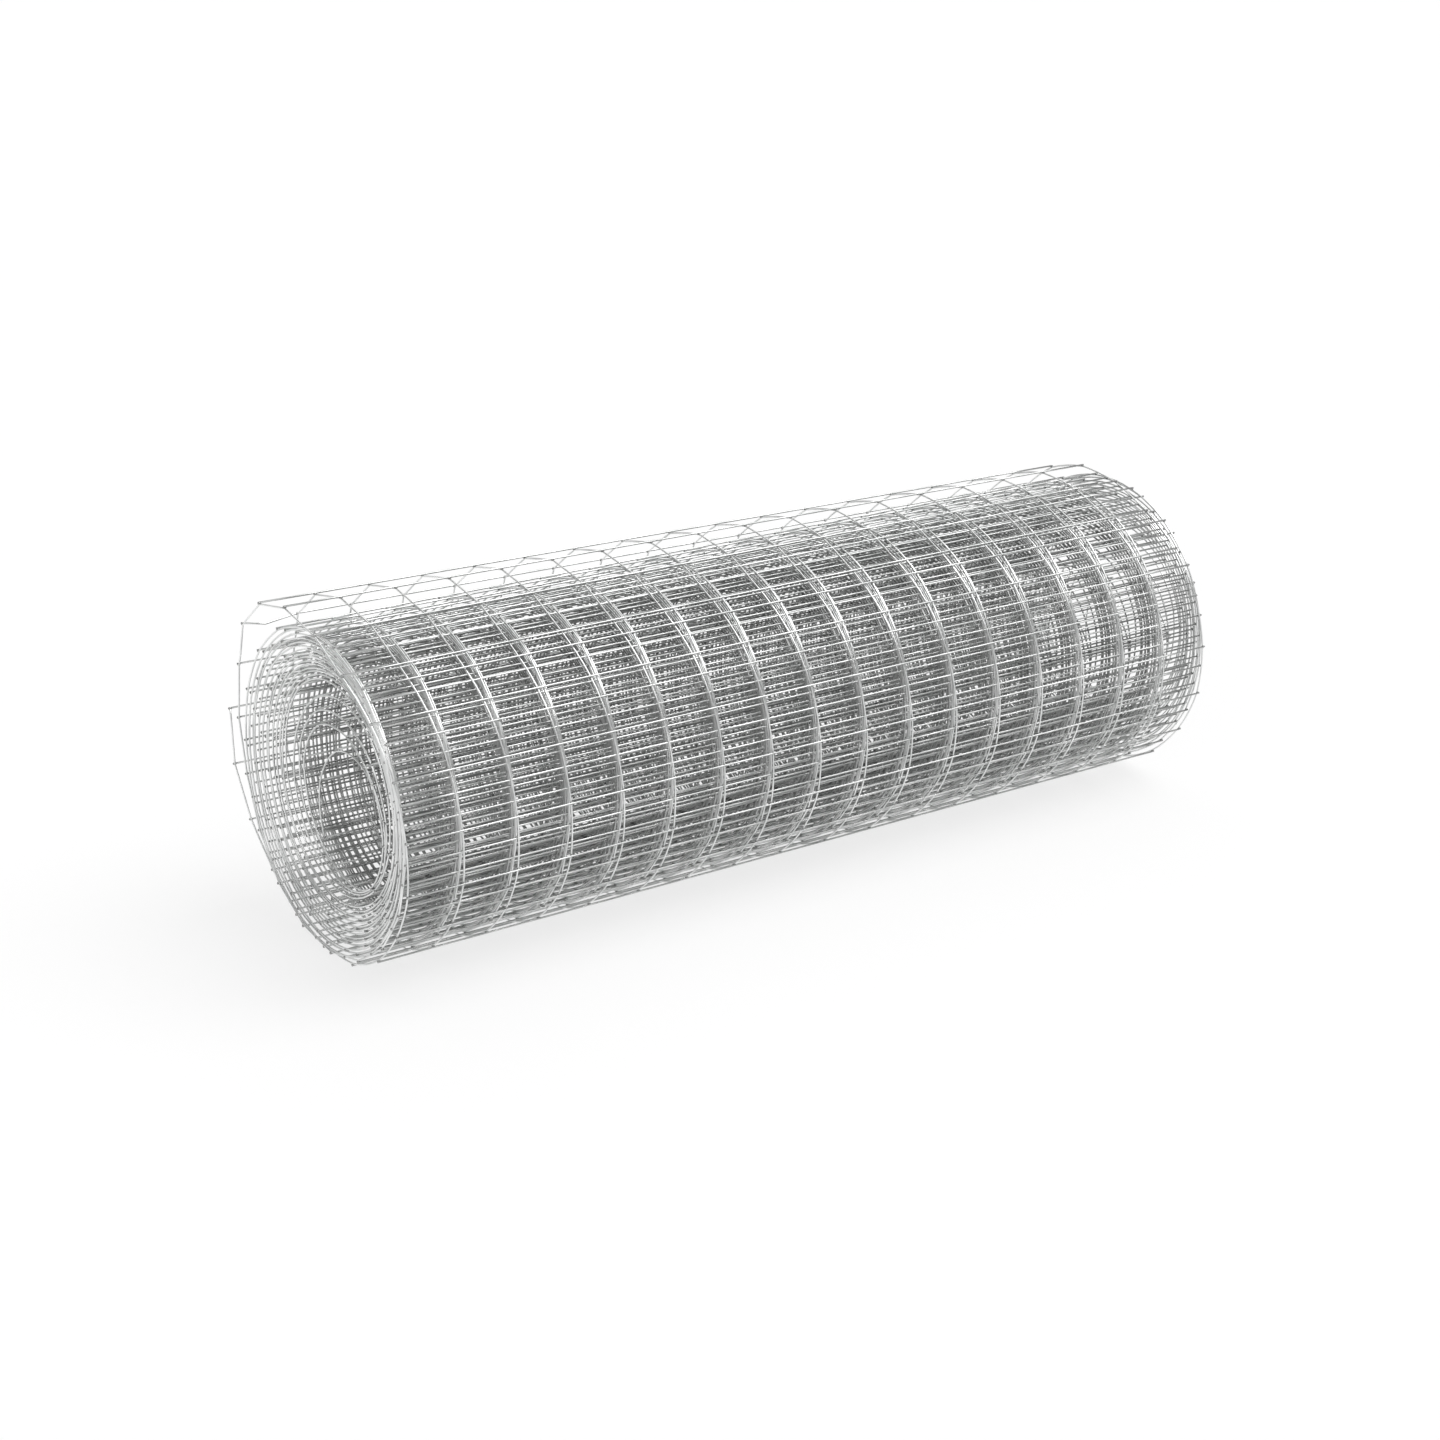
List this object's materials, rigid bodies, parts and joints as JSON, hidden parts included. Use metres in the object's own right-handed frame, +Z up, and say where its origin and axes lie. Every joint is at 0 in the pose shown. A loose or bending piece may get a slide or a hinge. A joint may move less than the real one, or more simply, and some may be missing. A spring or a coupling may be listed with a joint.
{
  "type": "roll of wire fencing",
  "caption": "Roll of galvanised welded wire mesh fencing lying on its side, with stepped turns showing on its ends, an open core and a sprung outer turn.",
  "frame": {"origin": "on the floor under the middle of the roll's box", "axes": "+X along the roll, from its near end to its far end; +Y to its back, where the outer end of the sheet hangs free; +Z up"},
  "size_m": [0.8674, 0.3088, 0.2905],
  "materials": {
    "galvanised_wire": "galvanised, satin"
  },
  "bodies": {
    "root": {"mesh_roll": "galvanised_wire"}
  },
  "joints": []
}
